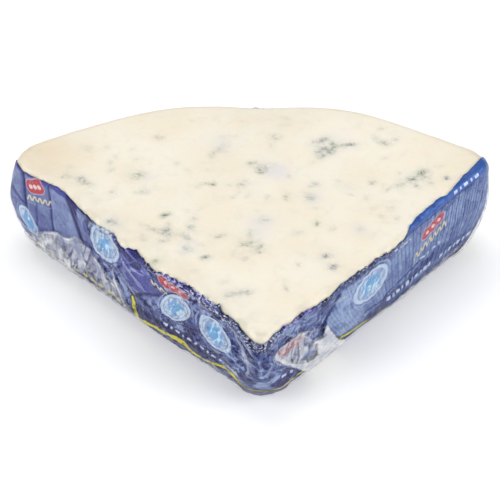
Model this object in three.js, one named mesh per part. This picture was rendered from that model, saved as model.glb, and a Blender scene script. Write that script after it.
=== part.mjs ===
// A wedge of gorgonzola: an eighth of a wheel, lying on its base in a printed foil
// tray, with a sleeve of clear film drawn round its sides.
// Millimetres, +Z up. The tip points toward -Y and the rind faces +Y.

import * as THREE from 'three';

// The wedge
const RIND_RADIUS = 163.5; // the rind's curve, drawn a little flatter by the wrapping
const RIND_CENTRE_X = -7; // the middle of that curve, from where the two cuts meet
const RIND_CENTRE_Y = -9;
const HEIGHT = 54; // floor to the edge of the top face
const CUT_ANGLE = Math.PI / 4; // each cut side, from the wedge's middle line
const TIP_ROUND = 4.5; // at the top face
const TIP_BASE_ROUND = 20; // at the floor, where the soft tip is worn back
const CORNER_ROUND = 12; // the back corners, at the top face
const CORNER_BASE_ROUND = 18;
const WORN_HEIGHT = 40; // above this the tip and corners keep their top shape
const BASE_ROUND = 11;
const CUT_EDGE_ROUND = 2.5;
const RIND_EDGE_ROUND = 6;
const CUT_BELLY = 1.5; // how far each kind of side bulges at half height
const RIND_BELLY = 4;
const CUT_LEAN = 5; // how far the foot of each cut side stands in from its top edge

// The wrapping
const GAP = 0.4; // clear space between one layer and the next
const FOIL_THICKNESS = 0.5;
const FILM_THICKNESS = 0.4;
const FILM_OVERHANG = 2; // the film reaches this far past the foil's edge

const FOIL_INSIDE = GAP;
const FOIL_OUTSIDE = FOIL_INSIDE + FOIL_THICKNESS;
const FILM_INSIDE = FOIL_OUTSIDE + GAP;
const FILM_OUTSIDE = FILM_INSIDE + FILM_THICKNESS;
const CHEESE_BASE = FOIL_OUTSIDE; // the foil's underside then lies on the floor

// Where the soft cheese swells: the place, how far the swelling reaches, how high it is
const TOP_SWELLS = [
  { x: 0, y: 90, z: HEIGHT, reach: 60, rise: 1 }, // the crown
  { x: -48, y: 142, z: HEIGHT, reach: 28, rise: 0.7 },
  { x: 45, y: 140, z: HEIGHT, reach: 30, rise: 0.5 },
];
const SIDE_SWELLS = [
  { x: -116, y: 112, z: 14, reach: 30, rise: 4 }, // the back corners
  { x: 110, y: 112, z: 16, reach: 28, rise: 3 },
  { x: 48, y: 46, z: 50, reach: 30, rise: 3 }, // the middle of the right side
  { x: -48, y: 46, z: 50, reach: 24, rise: 2.4 }, // the middle of the left side
  { x: -84, y: 84, z: 50, reach: 16, rise: -1 },
];

// Where the film stands off the foil
const PUFFS = [
  { x: -90, y: 92, z: 14, reach: 26, rise: 2 },
  { x: 30, y: 28, z: 18, reach: 22, rise: 1.6 },
  { x: 100, y: 112, z: 20, reach: 24, rise: 2.2 },
];

// How far the foil's upper edge reaches past the side, over the rounded edge toward the
// top face, and the waves that make it ragged
const FOIL_REACH_CUT = 1.8;
const FOIL_REACH_RIND = 2.6;
const RIND_WAVES = 1.5; // the waves are this much higher on the rind
const FOIL_WAVES = [
  { height: 0.7, count: 5, phase: 0.6 },
  { height: 0.5, count: 13, phase: 2.1 },
  { height: 0.3, count: 31, phase: 0.2 },
];

// How finely the surfaces are divided
const TIP_STEPS = 10;
const CUT_STEPS = 26;
const CORNER_STEPS = 8;
const RIND_STEPS = 30;
const BASE_ROWS = [0, 0.35, 0.7, 1];
const SIDE_ROWS = [1.2, 1.4, 1.6, 1.8, 2];
const EDGE_ROWS = [2.5, 3];
const FOIL_EDGE_ROWS = [1 / 3, 2 / 3, 1]; // shares of the foil's path past the side
const TOP_RINGS = [0.9, 0.72, 0.5, 0.25]; // shares of the way from the middle to the rim

const RIND_CENTRE = new THREE.Vector2(RIND_CENTRE_X, RIND_CENTRE_Y);

/** A straight run of the plan, from start to end; the outside is on its right. */
function straightRun(start, end, steps) {
  const along = end.clone().sub(start).normalize();
  const normal = new THREE.Vector2(along.y, -along.x);
  return Array.from({ length: steps }, (_, i) => ({
    at: start.clone().lerp(end, i / steps),
    normal,
  }));
}

/** A round run of the plan, counter-clockwise from one angle to another. */
function roundRun(centre, radius, from, to, steps) {
  return Array.from({ length: steps }, (_, i) => {
    const angle = from + ((to - from) * i) / steps;
    const normal = new THREE.Vector2(Math.cos(angle), Math.sin(angle));
    return { at: centre.clone().addScaledVector(normal, radius), normal };
  });
}

/** The centre of the round between a cut side and the rind; side is 1 or -1. */
function cornerCentre(side, round) {
  const along = new THREE.Vector2(side * Math.sin(CUT_ANGLE), Math.cos(CUT_ANGLE));
  const normal = new THREE.Vector2(side * Math.cos(CUT_ANGLE), -Math.sin(CUT_ANGLE));
  const inset = normal.multiplyScalar(-round);
  const start = inset.clone().sub(RIND_CENTRE);
  const half = along.dot(start);
  const reach = Math.sqrt(half ** 2 - start.lengthSq() + (RIND_RADIUS - round) ** 2) - half;
  return along.multiplyScalar(reach).add(inset);
}

/** The wedge's plan with given rounds at its corners, counter-clockwise seen from above. */
function plan(tipRound, cornerRound) {
  const tip = new THREE.Vector2(0, tipRound / Math.sin(CUT_ANGLE));
  const right = cornerCentre(1, cornerRound);
  const left = cornerCentre(-1, cornerRound);
  const rightFacing = -CUT_ANGLE;
  const leftFacing = Math.PI + CUT_ANGLE;
  const rightTurn = right.clone().sub(RIND_CENTRE).angle();
  const leftTurn = left.clone().sub(RIND_CENTRE).angle();
  const offset = (centre, radius, angle) =>
    new THREE.Vector2(centre.x + radius * Math.cos(angle), centre.y + radius * Math.sin(angle));
  return [
    ...straightRun(
      offset(tip, tipRound, rightFacing), offset(right, cornerRound, rightFacing), CUT_STEPS,
    ),
    ...roundRun(right, cornerRound, rightFacing, rightTurn, CORNER_STEPS),
    ...roundRun(RIND_CENTRE, RIND_RADIUS, rightTurn, leftTurn, RIND_STEPS),
    ...roundRun(left, cornerRound, leftTurn, leftFacing, CORNER_STEPS),
    ...straightRun(
      offset(left, cornerRound, leftFacing), offset(tip, tipRound, leftFacing), CUT_STEPS,
    ),
    ...roundRun(tip, tipRound, leftFacing, rightFacing + 2 * Math.PI, TIP_STEPS),
  ];
}

/** The stations round the wedge: where each stands at the floor and at the top face. */
function planStations() {
  const base = plan(TIP_BASE_ROUND, CORNER_BASE_ROUND);
  return plan(TIP_ROUND, CORNER_ROUND).map(({ at, normal }, i) => (
    { top: at, base: base[i].at, normal }
  ));
}

/** The sum of a list of swellings at a point. */
function swelling(list, x, y, z) {
  return list.reduce((sum, { x: cx, y: cy, z: cz, reach, rise }) => {
    const far = (x - cx) ** 2 + (y - cy) ** 2 + (z - cz) ** 2;
    return sum + rise * Math.exp(-far / reach ** 2);
  }, 0);
}

/** 0 on the cut sides, 1 on the rind, and a smooth change round the back corners. */
function rindShare(station) {
  return THREE.MathUtils.smoothstep(station.normal.y, -0.6, 0.5);
}

/**
 * A point of the wedge's skin. Place runs 0..1 up the base round, 1..2 up the side,
 * 2..3 over the rounded edge, and past 3 by millimetres across the top face.
 * Out is the distance from the cheese's own surface.
 */
function skinPoint(station, place, out, puffs = []) {
  const rind = rindShare(station);
  const edgeRound = THREE.MathUtils.lerp(CUT_EDGE_ROUND, RIND_EDGE_ROUND, rind);
  const belly = THREE.MathUtils.lerp(CUT_BELLY, RIND_BELLY, rind);
  const low = CHEESE_BASE + BASE_ROUND;
  const high = HEIGHT - edgeRound;
  let inset = 0;
  let z = THREE.MathUtils.lerp(low, high, THREE.MathUtils.clamp(place - 1, 0, 1));
  let tilt = 0;
  if (place < 1) {
    tilt = (place - 1) * Math.PI / 2;
    inset = BASE_ROUND * (1 - Math.cos(tilt));
    z = low + BASE_ROUND * Math.sin(tilt);
  } else if (place > 2) {
    tilt = Math.min(place - 2, 1) * Math.PI / 2;
    inset = edgeRound * (1 - Math.cos(tilt)) + Math.max(place - 3, 0);
    z = high + edgeRound * Math.sin(tilt);
  }
  const at = station.base.clone().lerp(station.top, THREE.MathUtils.smoothstep(z, 0, WORN_HEIGHT));
  const { x, y } = at.addScaledVector(station.normal, -inset);
  const puff = swelling(puffs, x, y, z);
  const lean = CUT_LEAN * (1 - rind) * (1 - z / HEIGHT);
  const bulge = belly * Math.sin((Math.PI * z) / HEIGHT) ** 2 - lean;
  const swell = swelling(SIDE_SWELLS, x, y, z) * Math.cos(Math.min(tilt, 0));
  const sideways = (out + puff) * Math.cos(tilt) + swell + bulge;
  const raised = tilt > 0 ? puff + swelling(TOP_SWELLS, x, y, z) : 0;
  const upward = (out + raised) * Math.sin(tilt);
  return new THREE.Vector3(x + station.normal.x * sideways, y + station.normal.y * sideways, z + upward);
}

/** One ring of skin points right round the wedge. */
function skinRing(stations, place, out, puffs) {
  return stations.map((station, i) => {
    const here = typeof place === 'function' ? place(station, i / stations.length) : place;
    return skinPoint(station, here, out, puffs);
  });
}

/** The cheese's top face at a share of the way from its middle out to its rim. */
function topRing(rim, share) {
  const middle = new THREE.Vector3(0, 0, 0);
  rim.forEach((point) => middle.addScaledVector(point, 1 / rim.length));
  return rim.map((point) => {
    const flat = point.clone().lerp(middle, 1 - share);
    return flat.setZ(HEIGHT + swelling(TOP_SWELLS, flat.x, flat.y, HEIGHT));
  });
}

/** How far past the side the foil reaches; turn is the share of the way round the wedge. */
function foilReach(station, turn) {
  const rind = rindShare(station);
  const waves = FOIL_WAVES.reduce(
    (sum, { height, count, phase }) => sum + height * Math.sin(2 * Math.PI * count * turn + phase), 0,
  );
  const mean = THREE.MathUtils.lerp(FOIL_REACH_CUT, FOIL_REACH_RIND, rind);
  return mean + waves * THREE.MathUtils.lerp(1, RIND_WAVES, rind);
}

/** The place on the skin that lies this many millimetres past the side. */
function placePastSide(station, path) {
  const edgeRound = THREE.MathUtils.lerp(CUT_EDGE_ROUND, RIND_EDGE_ROUND, rindShare(station));
  const roundPath = (edgeRound * Math.PI) / 2;
  return path < roundPath ? 2 + path / roundPath : 3 + path - roundPath;
}

/** A closed solid of rings in order; with caps, its first and last ring are filled in. */
function ringSolid(rings, capped) {
  const count = rings[0].length;
  const points = rings.flat();
  const faces = [];
  const last = capped ? rings.length - 1 : rings.length;
  for (let row = 0; row < last; row += 1) {
    const here = row * count;
    const above = ((row + 1) % rings.length) * count;
    for (let i = 0; i < count; i += 1) {
      const next = (i + 1) % count;
      faces.push(here + i, here + next, above + next, here + i, above + next, above + i);
    }
  }
  const cap = (ring, start, flip) => {
    const middle = new THREE.Vector3(0, 0, 0);
    ring.forEach((point) => middle.addScaledVector(point, 1 / count));
    points.push(middle);
    for (let i = 0; i < count; i += 1) {
      const pair = [start + i, start + ((i + 1) % count)];
      faces.push(points.length - 1, ...(flip ? pair.reverse() : pair));
    }
  };
  if (capped) {
    cap(rings[0], 0, true);
    cap(rings.at(-1), (rings.length - 1) * count, false);
  }
  const numbers = points.flatMap((point) => point.toArray());
  const geometry = new THREE.BufferGeometry();
  geometry.setAttribute('position', new THREE.Float32BufferAttribute(numbers, 3));
  geometry.setIndex(faces);
  geometry.computeVertexNormals();
  return geometry;
}

/** The rows that take the foil from the side to its ragged edge. */
function foilEdgeRows() {
  return FOIL_EDGE_ROWS.map((share) => (station, turn) =>
    placePastSide(station, share * foilReach(station, turn)));
}

function makeCheese(stations) {
  const rows = [...BASE_ROWS, ...SIDE_ROWS, ...EDGE_ROWS];
  const skin = rows.map((place) => skinRing(stations, place, 0));
  const rings = [...skin, ...TOP_RINGS.map((share) => topRing(skin.at(-1), share))];
  const material = new THREE.MeshStandardMaterial({ color: 0xf4edd9, roughness: 0.55, metalness: 0 });
  return new THREE.Mesh(ringSolid(rings, true), material);
}

function makeFoil(stations) {
  const rows = [...BASE_ROWS, ...SIDE_ROWS, ...foilEdgeRows()];
  const outside = rows.map((place) => skinRing(stations, place, FOIL_OUTSIDE));
  const inside = rows.map((place) => skinRing(stations, place, FOIL_INSIDE));
  const material = new THREE.MeshStandardMaterial({ color: 0x3c4a96, roughness: 0.35, metalness: 0.4 });
  return new THREE.Mesh(ringSolid([...outside, ...inside.reverse()], true), material);
}

function makeFilm(stations) {
  const rim = (station, turn) => placePastSide(station, foilReach(station, turn) + FILM_OVERHANG);
  const rows = [...BASE_ROWS.slice(1), ...SIDE_ROWS, ...foilEdgeRows(), rim];
  const outside = rows.map((place) => skinRing(stations, place, FILM_OUTSIDE, PUFFS));
  const inside = rows.map((place) => skinRing(stations, place, FILM_INSIDE, PUFFS));
  const material = new THREE.MeshStandardMaterial({
    color: 0xe8edf2, roughness: 0.15, metalness: 0, transparent: true, opacity: 0.3,
  });
  return new THREE.Mesh(ringSolid([...outside, ...inside.reverse()], false), material);
}

const stations = planStations();
const wedge = new THREE.Group();
const pieces = {
  cheese: makeCheese(stations),
  foil_wrap: makeFoil(stations),
  clear_film: makeFilm(stations),
};
for (const [name, mesh] of Object.entries(pieces)) {
  mesh.name = name;
  wedge.add(mesh);
}

// The origin is under the middle of the wedge, on the floor
const middle = new THREE.Box3().setFromObject(wedge).getCenter(new THREE.Vector3());
wedge.children.forEach((mesh) => mesh.position.set(-middle.x, -middle.y, 0));

export default wedge;
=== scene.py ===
"""A wedge of gorgonzola in printed foil and clear film, on a pale floor."""

import math
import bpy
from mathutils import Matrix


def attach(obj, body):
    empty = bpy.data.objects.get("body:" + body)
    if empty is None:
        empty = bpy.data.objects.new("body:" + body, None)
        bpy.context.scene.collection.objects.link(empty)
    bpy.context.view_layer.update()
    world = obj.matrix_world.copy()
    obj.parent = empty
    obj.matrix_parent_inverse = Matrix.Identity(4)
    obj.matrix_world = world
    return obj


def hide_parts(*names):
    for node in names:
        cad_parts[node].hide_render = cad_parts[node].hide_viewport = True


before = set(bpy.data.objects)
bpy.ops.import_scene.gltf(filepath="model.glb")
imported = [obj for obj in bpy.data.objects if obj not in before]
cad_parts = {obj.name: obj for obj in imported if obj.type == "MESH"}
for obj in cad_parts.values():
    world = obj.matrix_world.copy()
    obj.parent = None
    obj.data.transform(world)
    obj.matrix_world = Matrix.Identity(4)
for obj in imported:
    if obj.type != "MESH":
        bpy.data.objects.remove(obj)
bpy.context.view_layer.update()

from types import SimpleNamespace

import bpy
import numpy as np
from mathutils import Vector, noise
from mathutils.geometry import delaunay_2d_cdt

MM = 0.001
APEX = (2.506, -80.258)  # where the two cuts meet, in the row's frame, in mm
MIDDLE = (0, 95)  # about the middle of the base
FAR = 99.0  # mm from an edge, for places that aren't near it
UNDERSIDE = -60.0  # the height that the middle of the underside counts as, in mm

# The wedge, in mm from the apex: the same named sizes as the part's source
RIND_RADIUS = 163.5
RIND_CENTRE = np.array([-7.0, -9.0])
HEIGHT = 54.0
CUT_ANGLE = math.pi / 4
TIP_ROUND, TIP_BASE_ROUND = 4.5, 20.0
CORNER_ROUND, CORNER_BASE_ROUND = 12.0, 18.0
WORN_HEIGHT = 40.0
BASE_ROUND = 11.0
CUT_EDGE_ROUND, RIND_EDGE_ROUND = 2.5, 6.0
CUT_BELLY, RIND_BELLY = 1.5, 4.0
CUT_LEAN = 5.0
CHEESE_BASE = 0.9
TOP_SWELLS = [
    (0, 90, 54, 60, 1), (-48, 142, 54, 28, 2.5), (45, 140, 54, 30, 3.7), (2, 156, 54, 16, -1.8),
    (112, 104, 54, 18, 3.2), (-96, 116, 54, 26, 1.6), (84, 124, 54, 22, 1.8),
]
SIDE_SWELLS = [
    (-116, 112, 14, 30, 4), (110, 112, 16, 28, 0.6), (48, 46, 50, 30, 3), (-48, 46, 50, 24, 2.4),
    (-84, 84, 50, 16, -1), (114, 106, 44, 22, 3.2), (-122, 110, 30, 24, 3.4), (-58, 60, 2, 26, 3),
    (-84, 86, 2, 26, 2), (66, 68, 2, 26, 2.6), (92, 92, 2, 26, 3.4), (-17, 20, 6, 18, -1),
]
PUFFS = [(-90, 88, 12, 20, 0.8), (30, 28, 18, 22, 0.9), (116, 104, 12, 15, 1.8)]

LOW_SAG = [  # place along the cut, mm: how far the side sags out just above the base
    (-272, 0), (-200, 0), (-165, 0.7), (-150, 0.85), (-130, 0.65), (-108, 0.3), (-97, 0), (-74, 0),
    (-64, 0.8), (-43, 1.1), (-34, 0.65), (-22, 0.6), (-14, 0.1), (-5, 0.5), (3, 0.9), (16, 0.7),
    (52, 0.6), (62, 0.3), (84, 0), (96, -0.3), (110, -0.9), (122, -1.1), (136, -1), (147, 0.3),
    (157, 2.6), (168, 1.4), (182, 0), (272, 0),
]

# How finely the surfaces are divided: stations round the wedge, rows up it, and mm on top
TIP_STEPS, CUT_STEPS, CORNER_STEPS, RIND_STEPS = 18, 290, 34, 230
FOIL_STEPS, FILM_STEPS = 78, 76
TOP_PITCH = 0.62
CHEESE_ROWS = [
    0, 0.35, 0.7, 1, 1.15, 1.3, 1.45, 1.6, 1.75, 1.87, 1.95, 2, 2.2, 2.4, 2.6, 2.8, 3,
]

# The wrapping's layers, outwards from the cheese
FOIL_INSIDE = 0.15
FOIL_OUTSIDE = 0.6
THINNEST_FOIL = 0.12
TORN_TEETH = 1.3  # how far the torn edge's teeth stand up
FILM_OUTSIDE = 1.0
FILM_LIP = 0.5  # how far the film reaches past the foil's edge
OVERLAP_STEP, OVERLAP_WIDTH = 0.5, 14  # where the foil laps over itself at the back

# The foil's upper edge: (place along the cut from the apex, left sides negative; mm past the
# side's top)
FOIL_EDGE = [
    (-272, 1.6), (-262, 1.2), (-258, 1.9), (-248, 2.2), (-244, 1.4), (-225, 1), (-205, 1.3),
    (-190, 0.9), (-178, 0.6), (-172, -0.9), (-166, -2.2), (-161.5, -1), (-158.5, 1.9), (-156, 1.6),
    (-152.5, 1.8), (-148, 0.9), (-142.5, 1), (-136, 1.6), (-127.5, 2.6), (-121, 2.4), (-115, 1.4),
    (-109, 0.8), (-104, 0), (-100, -0.4), (-96, 0.6), (-92, 1.6), (-85, 1.2), (-81, -1.1),
    (-76, 1.3), (-73, 2.5), (-69, 2.1), (-64, 1.2), (-60, 0.5), (-53, 1.2), (-46, 1.8), (-41, 2.1),
    (-31, 2.1), (-23, 1.7), (-17, 0.9), (-12.5, 0), (-9, -1.6), (-5, -3.2), (1, -3.4), (5, -1.1),
    (9, -0.5), (16, -1), (20, 0.1), (23, 0.4), (27, -0.5), (31, -1.7), (38, -1.5), (41, 0.1),
    (44, 1.2), (51, 1.4), (64, 1.5), (68, 1.4), (73, 0), (79, -0.6), (84, -0.1), (87, 1.5),
    (91, 3), (97, 3.5), (114, 3.5), (118, 2.6), (126, 3.9), (132, 5), (141, 6), (148, 5.6),
    (153, 3.6), (157, 1.6), (165, 0.6), (185, 1), (200, 0.6), (208, 1.6), (216, 1.9), (221, 1),
    (240, 0.8), (255, 1.5), (272, 1.6),
]


def ramp(x, low, high):
    """0 up to low and 1 from high on, with a smooth rise between; low may be the larger."""
    t = np.clip((x - low) / (high - low), 0, 1)
    return t * t * (3 - 2 * t)


def lerp(a, b, t):
    return a + (b - a) * t


def between(x, start, full, fading, end):
    """1 from full to fading, and 0 before start and after end."""
    return ramp(x, start, full) * ramp(x, end, fading)


def at_place(table, u, column=1):
    """A column of a table that goes by the place along the cut, read off at u."""
    rows = np.array(table, float)
    return np.interp(u, rows[:, 0], rows[:, column])


def turned(u, v, cu, cv, turn):
    """Places seen from a middle, along axes turned by turn degrees."""
    c, s = math.cos(math.radians(turn)), math.sin(math.radians(turn))
    return (u - cu) * c + (v - cv) * s, (v - cv) * c - (u - cu) * s


def straight_run(start, end, steps):
    along = (end - start) / np.linalg.norm(end - start)
    share = np.arange(steps)[:, None] / steps
    return start + (end - start) * share, np.repeat([[along[1], -along[0]]], steps, 0)


def round_run(centre, radius, start, end, steps):
    angle = start + (end - start) * np.arange(steps) / steps
    normal = np.stack([np.cos(angle), np.sin(angle)], 1)
    return centre + radius * normal, normal


def corner_centre(side, rounding):
    """The centre of the rounding between the rind and a cut; side is 1 on the right, -1 left."""
    along = np.array([side * math.sin(CUT_ANGLE), math.cos(CUT_ANGLE)])
    inset = np.array([side * math.cos(CUT_ANGLE), -math.sin(CUT_ANGLE)]) * -rounding
    start = inset - RIND_CENTRE
    half = along @ start
    reach = math.sqrt(half**2 - start @ start + (RIND_RADIUS - rounding) ** 2) - half
    return along * reach + inset


def plan(tip_round, corner_round):
    """The wedge's outline seen from above: points and outward normals, counter-clockwise."""
    tip = np.array([0, tip_round / math.sin(CUT_ANGLE)])
    right, left = corner_centre(1, corner_round), corner_centre(-1, corner_round)
    right_facing, left_facing = -CUT_ANGLE, math.pi + CUT_ANGLE

    def turn(centre):
        x, y = centre - RIND_CENTRE
        return math.atan2(y, x) % (2 * math.pi)

    def offset(centre, radius, angle):
        return centre + radius * np.array([math.cos(angle), math.sin(angle)])

    runs = [
        straight_run(offset(tip, tip_round, right_facing),
                     offset(right, corner_round, right_facing), CUT_STEPS),
        round_run(right, corner_round, right_facing, turn(right), CORNER_STEPS),
        round_run(RIND_CENTRE, RIND_RADIUS, turn(right), turn(left), RIND_STEPS),
        round_run(left, corner_round, turn(left), left_facing, CORNER_STEPS),
        straight_run(offset(left, corner_round, left_facing),
                     offset(tip, tip_round, left_facing), CUT_STEPS),
        round_run(tip, tip_round, left_facing, right_facing + 2 * math.pi, TIP_STEPS),
    ]
    return np.concatenate([r[0] for r in runs]), np.concatenate([r[1] for r in runs])


def plan_stations():
    """The stations round the wedge; along is the way from the apex, negative on the left."""
    top, normal = plan(TIP_ROUND, CORNER_ROUND)
    base, _ = plan(TIP_BASE_ROUND, CORNER_BASE_ROUND)
    steps = np.linalg.norm(np.roll(top, -1, 0) - top, axis=1)
    run = np.concatenate([[0], np.cumsum(steps)])[:-1]
    count = len(top)
    tip_start = count - TIP_STEPS
    middle = CUT_STEPS + CORNER_STEPS + RIND_STEPS // 2
    index = np.arange(count)
    along = np.where(index <= middle, run + TIP_ROUND, run - run[tip_start] - TIP_ROUND)
    at_tip = lerp(-TIP_ROUND, TIP_ROUND, (index - tip_start) / TIP_STEPS)
    along = np.where(index >= tip_start, at_tip, along)
    rind = ramp(normal[:, 1], -0.6, 0.5)
    edge_round = lerp(CUT_EDGE_ROUND, RIND_EDGE_ROUND, rind)
    return SimpleNamespace(
        top=top, base=base, normal=normal, along=along, rind=rind, edge_round=edge_round,
        low=CHEESE_BASE + BASE_ROUND, high=HEIGHT - edge_round, count=count,
    )


def swelling(swells, x, y, z):
    """The sum of soft swellings; each is x, y, z, reach, rise, in mm."""
    total = np.zeros(np.broadcast(x, y, z).shape)
    for cx, cy, cz, reach, rise in swells:
        total += rise * np.exp(-((x - cx) ** 2 + (y - cy) ** 2 + (z - cz) ** 2) / reach**2)
    return total


def skin(st, place, out, puffs=()):
    """Points of the wedge's skin, out mm outwards; place and out are rows by stations.

    place goes from 0 to 1 up the base round, to 2 up the side, to 3 over the edge, then in mm.
    """
    belly = lerp(CUT_BELLY, RIND_BELLY, st.rind)
    tilt = np.where(place < 1, (place - 1) * math.pi / 2, 0.0)
    tilt = np.where(place > 2, np.minimum(place - 2, 1) * math.pi / 2, tilt)
    rounding = np.where(place < 1, BASE_ROUND, st.edge_round)
    inset = rounding * (1 - np.cos(tilt)) + np.maximum(place - 3, 0)
    z = lerp(st.low, st.high, np.clip(place - 1, 0, 1)) + rounding * np.sin(tilt)
    worn = ramp(z, 0, WORN_HEIGHT)[..., None]
    at = lerp(st.base, st.top, worn) - st.normal * inset[..., None]
    x, y = at[..., 0], at[..., 1]
    puff = swelling(puffs, x, y, z)
    lean = CUT_LEAN * (1 - st.rind) * (1 - z / HEIGHT)
    bulge = belly * np.sin(math.pi * z / HEIGHT) ** 2 - lean
    swell = swelling(SIDE_SWELLS, x, y, z) * np.cos(np.minimum(tilt, 0))
    sideways = (out + puff) * np.cos(tilt) + swell + bulge
    raised = np.where(tilt > 0, puff + swelling(TOP_SWELLS, x, y, z), 0)
    upward = (out + raised) * np.sin(tilt)
    flat = at + st.normal * sideways[..., None]
    return np.concatenate([flat, (z + upward)[..., None]], -1)


def sagging(st, place):
    """How far the side sags outwards just above the base, in mm."""
    return at_place(LOW_SAG, st.along) * between(place, 0.1, 0.5, 1.0, 1.7)


def place_up(st, length):
    """The place on the skin this many mm up from the base round, over the edge and on."""
    side = st.high - st.low
    arc = st.edge_round * math.pi / 2
    past = length - side
    over = np.where(past < arc, 2 + past / arc, 3 + past - arc)
    return np.where(length < side, 1 + length / side, over)


def noise_of(points, size, seed=0.0):
    """Smooth noise, about -1 to 1, with features of this size in mm; size may be 3 numbers."""
    flat = np.asarray(points, float).reshape(-1, 3) / np.asarray(size, float) + seed
    return np.array([noise.noise(p) for p in flat.tolist()]).reshape(np.shape(points)[:-1])


def ridges_of(points, size, seed=0.0):
    """Sharp ridges, 0 to 1, as in crumpled foil."""
    return np.clip(1 - 2.2 * np.abs(noise_of(points, size, seed)), 0, 1)


def link(name, data):
    """A new object in the scene."""
    made = bpy.data.objects.new(name, data)
    bpy.context.scene.collection.objects.link(made)
    return made


def add_piece(name, points, faces, fields, material, node):
    """A piece in place of a CAD node: points in mm from the apex, fields as attributes."""
    mesh = bpy.data.meshes.new(name)
    moved = (points + np.array([*APEX, 0.0])) * MM
    mesh.from_pydata(moved.tolist(), [], faces)
    for field, values in fields.items():
        data = mesh.attributes.new(field, "FLOAT", "POINT").data
        data.foreach_set("value", values.ravel().astype(np.float32))
    mesh.polygons.foreach_set("use_smooth", np.ones(len(mesh.polygons), bool))
    mesh.materials.append(material)
    mesh.update()
    piece = link(name, mesh)
    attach(piece, "root")
    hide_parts(node)


def band_faces(rows, count):
    """Quads between rows of stations that go right round."""
    here = np.arange(count)
    after = (here + 1) % count
    quads = []
    for a in range(0, (rows - 1) * count, count):
        b = a + count
        quads += np.stack([a + here, a + after, b + after, b + here], 1).tolist()
    return quads


def cap_faces(ring, middle, flip):
    """Triangles from a ring of points to one in its middle."""
    pairs = zip(ring, [*ring[1:], ring[0]])
    return [(middle, b, a) if flip else (middle, a, b) for a, b in pairs]


# ---- Materials -------------------------------------------------------------------------


def srgb(r, g, b):
    """A linear colour from one in the usual 0 to 255."""
    def linear(c):
        c /= 255
        return c / 12.92 if c <= 0.04045 else ((c + 0.055) / 1.055) ** 2.4
    return (linear(r), linear(g), linear(b), 1.0)


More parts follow.
